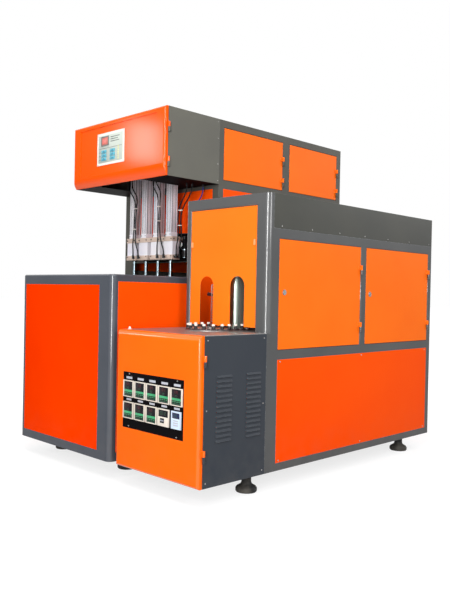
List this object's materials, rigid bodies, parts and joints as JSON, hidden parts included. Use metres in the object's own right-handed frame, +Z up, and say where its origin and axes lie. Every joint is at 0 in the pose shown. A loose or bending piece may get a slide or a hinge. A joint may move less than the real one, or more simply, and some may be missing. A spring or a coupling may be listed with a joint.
{
  "type": "blow moulding machine",
  "caption": "Semi-automatic stretch blow moulding machine: a blow unit with base cabinet, tower and overhanging head beside a preform oven with chain conveyor, louvred control box and doors.",
  "frame": {"origin": "on the floor, under the middle of the whole machine's box", "axes": "+Z up, -Y towards the operator, +X from the blow unit to the oven"},
  "size_m": [1.7144, 2.187, 2.133],
  "materials": {
    "frame_grey": "satin",
    "panel_orange": "satin",
    "black_paint": "satin",
    "machine_paint": "satin",
    "bare_aluminium": "satin",
    "mould_aluminium": "machined",
    "bright_chrome": "polished",
    "steel": "brushed",
    "deck_steel": "brushed",
    "hard_plastic": "matte",
    "light_plastic": "gloss",
    "instrument_plastic": "satin",
    "hose_plastic": "matte",
    "rubber": "matte",
    "quartz": "clear"
  },
  "bodies": {
    "machine": {"base_frame": "frame_grey", "tower_frame": "frame_grey", "head_shell": "frame_grey", "oven_frame": "frame_grey", "oven_top_cover": "frame_grey", "control_box_body": "frame_grey", "base_front_panel": "panel_orange", "base_panels": "panel_orange", "tower_panels": "panel_orange", "oven_front_panel": "panel_orange", "oven_panels": "panel_orange", "head_floor": "black_paint", "cylinder_bracket": "black_paint", "clamp_bed": "machine_paint", "clamp_cylinders": "machine_paint", "air_receiver": "machine_paint", "conveyor_gearmotor": "machine_paint", "crosshead": "bare_aluminium", "stretch_cylinders": "bare_aluminium", "sealing_cylinders": "bare_aluminium", "lamp_reflectors": "bare_aluminium", "tie_bars": "bright_chrome", "conveyor_chain": "steel", "foot_studs": "steel", "panel_latches": "steel", "conveyor_deck": "deck_steel", "base_deck": "deck_steel", "air_regulator": "hard_plastic", "hose_fittings": "hard_plastic", "air_hoses_left": "hose_plastic", "air_hoses_middle": "hose_plastic", "air_hoses_right": "hose_plastic", "foot_pads": "rubber", "heating_lamps": "quartz"},
    "head_hood": {"head_hood": "panel_orange", "keypad_panel": "light_plastic"},
    "head_door_front": {"head_door_front": "panel_orange"},
    "head_door_rear": {"head_door_rear": "panel_orange"},
    "control_box_door": {"control_box_door": "panel_orange", "instrument_plate": "black_paint", "panel_instruments": "instrument_plastic"},
    "oven_door_front": {"oven_door_front": "panel_orange"},
    "oven_door_rear": {"oven_door_rear": "panel_orange"},
    "oven_lock_front": {"oven_lock_front": "steel"},
    "oven_lock_rear": {"oven_lock_rear": "steel"},
    "clamp_front": {"platen_front": "machine_paint", "mould_front": "mould_aluminium"},
    "clamp_rear": {"platen_rear": "machine_paint", "mould_rear": "mould_aluminium"},
    "drive_sprocket": {"drive_sprocket": "steel"},
    "idler_sprocket": {"idler_sprocket": "steel"},
    "regulator_knob": {"regulator_knob": "hard_plastic"},
    "sealing_rod_1": {"sealing_rod_1": "bright_chrome"},
    "stretch_rod_1": {"stretch_rod_1": "bright_chrome"},
    "sealing_rod_2": {"sealing_rod_2": "bright_chrome"},
    "stretch_rod_2": {"stretch_rod_2": "bright_chrome"},
    "sealing_rod_3": {"sealing_rod_3": "bright_chrome"},
    "stretch_rod_3": {"stretch_rod_3": "bright_chrome"},
    "sealing_rod_4": {"sealing_rod_4": "bright_chrome"},
    "stretch_rod_4": {"stretch_rod_4": "bright_chrome"}
  },
  "joints": [
    {"name": "head_hood_hinge", "type": "hinge", "parent": "machine", "child": "head_hood", "pos_m": [0.13025, -0.7055, 1.925], "axis": [0, 0, 1], "range_deg": [0, 110]},
    {"name": "head_door_front_hinge", "type": "hinge", "parent": "machine", "child": "head_door_front", "pos_m": [0.13025, 0.327, 1.92], "axis": [0, 0, 1], "range_deg": [0, 105]},
    {"name": "head_door_rear_hinge", "type": "hinge", "parent": "machine", "child": "head_door_rear", "pos_m": [0.13025, 0.949, 1.92], "axis": [0, 0, 1], "range_deg": [0, 105]},
    {"name": "control_box_door_hinge", "type": "hinge", "parent": "machine", "child": "control_box_door", "pos_m": [0.85025, -1.0565, 0.48], "axis": [0, 0, 1], "range_deg": [0, 110]},
    {"name": "oven_door_front_hinge", "type": "hinge", "parent": "machine", "child": "oven_door_front", "pos_m": [0.85025, 0.236, 1.04], "axis": [0, 0, 1], "range_deg": [0, 100]},
    {"name": "oven_door_rear_hinge", "type": "hinge", "parent": "machine", "child": "oven_door_rear", "pos_m": [0.85025, 1.048, 1.04], "axis": [0, 0, 1], "range_deg": [0, 100]},
    {"name": "oven_lock_front_turn", "type": "hinge", "parent": "oven_door_front", "child": "oven_lock_front", "pos_m": [0.84275, -0.4765, 1.05], "axis": [1, 0, 0], "range_deg": [0, 90]},
    {"name": "oven_lock_rear_turn", "type": "hinge", "parent": "oven_door_rear", "child": "oven_lock_rear", "pos_m": [0.84275, 0.3415, 1.05], "axis": [1, 0, 0], "range_deg": [0, 90]},
    {"name": "sealing_rod_1_slide", "type": "slide", "parent": "machine", "child": "sealing_rod_1", "axis": [0, 0, -1], "range_m": [0, 0.06]},
    {"name": "sealing_rod_2_slide", "type": "slide", "parent": "machine", "child": "sealing_rod_2", "axis": [0, 0, -1], "range_m": [0, 0.06]},
    {"name": "sealing_rod_3_slide", "type": "slide", "parent": "machine", "child": "sealing_rod_3", "axis": [0, 0, -1], "range_m": [0, 0.06]},
    {"name": "sealing_rod_4_slide", "type": "slide", "parent": "machine", "child": "sealing_rod_4", "axis": [0, 0, -1], "range_m": [0, 0.06]},
    {"name": "stretch_rod_1_slide", "type": "slide", "parent": "machine", "child": "stretch_rod_1", "axis": [0, 0, -1], "range_m": [0, 0.27]},
    {"name": "stretch_rod_2_slide", "type": "slide", "parent": "machine", "child": "stretch_rod_2", "axis": [0, 0, -1], "range_m": [0, 0.27]},
    {"name": "stretch_rod_3_slide", "type": "slide", "parent": "machine", "child": "stretch_rod_3", "axis": [0, 0, -1], "range_m": [0, 0.27]},
    {"name": "stretch_rod_4_slide", "type": "slide", "parent": "machine", "child": "stretch_rod_4", "axis": [0, 0, -1], "range_m": [0, 0.27]},
    {"name": "clamp_front_slide", "type": "slide", "parent": "machine", "child": "clamp_front", "axis": [0, 1, 0], "range_m": [0, 0.1097]},
    {"name": "clamp_rear_slide", "type": "slide", "parent": "machine", "child": "clamp_rear", "axis": [0, -1, 0], "range_m": [0, 0.1097]},
    {"name": "drive_sprocket_turn", "type": "hinge", "parent": "machine", "child": "drive_sprocket", "pos_m": [0.49175, -0.6865, 0.84], "axis": [0, 0, 1], "continuous": true},
    {"name": "idler_sprocket_turn", "type": "hinge", "parent": "machine", "child": "idler_sprocket", "pos_m": [0.49175, 0.9137, 0.84], "axis": [0, 0, 1], "continuous": true},
    {"name": "regulator_knob_turn", "type": "hinge", "parent": "machine", "child": "regulator_knob", "pos_m": [-0.13525, -0.3315, 1.39], "axis": [0, 0, 1], "range_deg": [-720, 720]}
  ],
  "couplings": [
    {"joint": "sealing_rod_2_slide", "follows": "sealing_rod_1_slide", "ratio": 1},
    {"joint": "sealing_rod_3_slide", "follows": "sealing_rod_1_slide", "ratio": 1},
    {"joint": "sealing_rod_4_slide", "follows": "sealing_rod_1_slide", "ratio": 1},
    {"joint": "stretch_rod_2_slide", "follows": "stretch_rod_1_slide", "ratio": 1},
    {"joint": "stretch_rod_3_slide", "follows": "stretch_rod_1_slide", "ratio": 1},
    {"joint": "stretch_rod_4_slide", "follows": "stretch_rod_1_slide", "ratio": 1},
    {"joint": "clamp_rear_slide", "follows": "clamp_front_slide", "ratio": 1},
    {"joint": "idler_sprocket_turn", "follows": "drive_sprocket_turn", "ratio": 1}
  ]
}
